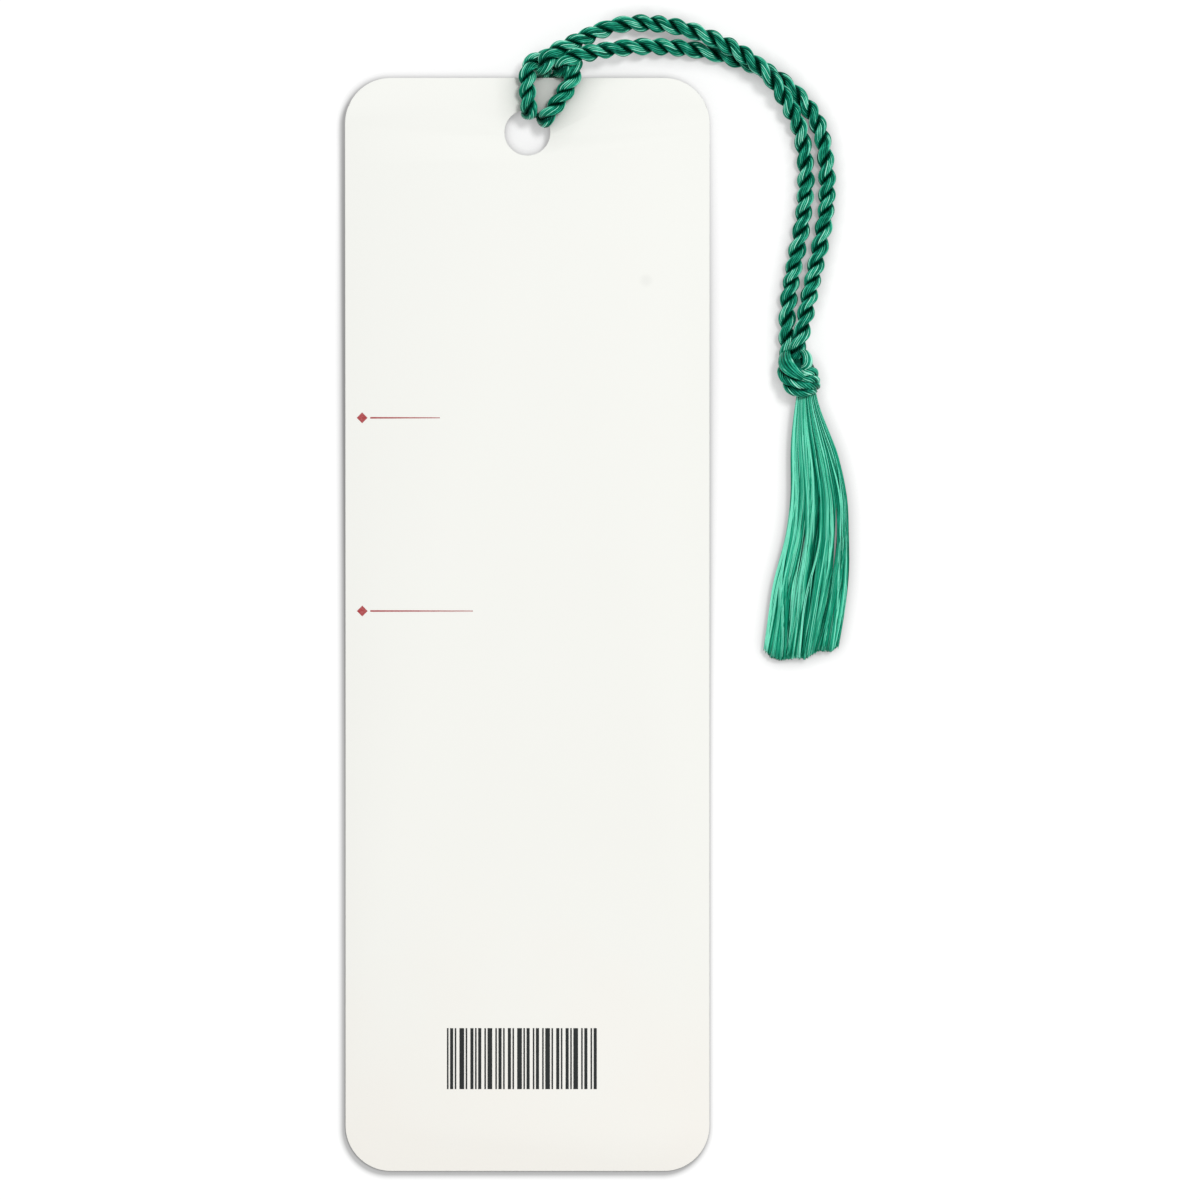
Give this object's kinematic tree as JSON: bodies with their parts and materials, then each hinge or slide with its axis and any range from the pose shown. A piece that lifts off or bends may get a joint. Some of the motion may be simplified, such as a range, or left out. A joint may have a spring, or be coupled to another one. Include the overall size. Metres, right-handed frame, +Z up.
{
  "type": "bookmark",
  "caption": "Flat round-cornered card bookmark with a punched hole and a twisted-cord tassel looped through it, ending in a knot and a combed skirt; marks a place in a book.",
  "frame": {"origin": "on the table, under the middle of the card's outline", "axes": "+Y along the card towards its punched end, +X to the right of the face that is up, +Z up out of that face"},
  "size_m": [0.0699, 0.161, 0.0071],
  "materials": {
    "card_stock": "smooth satin",
    "cord": "lustrous twisted yarn",
    "skirt": "lustrous combed yarn"
  },
  "bodies": {
    "card": {"card": "card_stock", "hitch_loop": "cord", "hitch_leg_left": "cord", "hitch_leg_right": "cord"},
    "arch": {"arch_cord_upper": "cord", "arch_cord_lower": "cord"},
    "run": {"run_cord_upper": "cord", "run_cord_lower": "cord", "tassel_knot": "cord"},
    "skirt": {"skirt_tuft_1": "skirt", "skirt_tuft_2": "skirt", "skirt_tuft_3": "skirt", "skirt_tuft_4": "skirt"}
  },
  "joints": [
    {"name": "tassel_swing", "type": "hinge", "parent": "card", "child": "arch", "pos_m": [0.00307, 0.07747, 0.006], "axis": [0, 0, 1], "range_deg": [-2, 75]},
    {"name": "tassel_lift", "type": "hinge", "parent": "arch", "child": "run", "pos_m": [0.0403, 0.0646, 0.00112], "axis": [-1, 0, 0], "range_deg": [0, 90]},
    {"name": "skirt_sway", "type": "hinge", "parent": "run", "child": "skirt", "pos_m": [0.03887, 0.0309, 0.00225], "axis": [0, 0, 1], "range_deg": [-4, 45]}
  ]
}
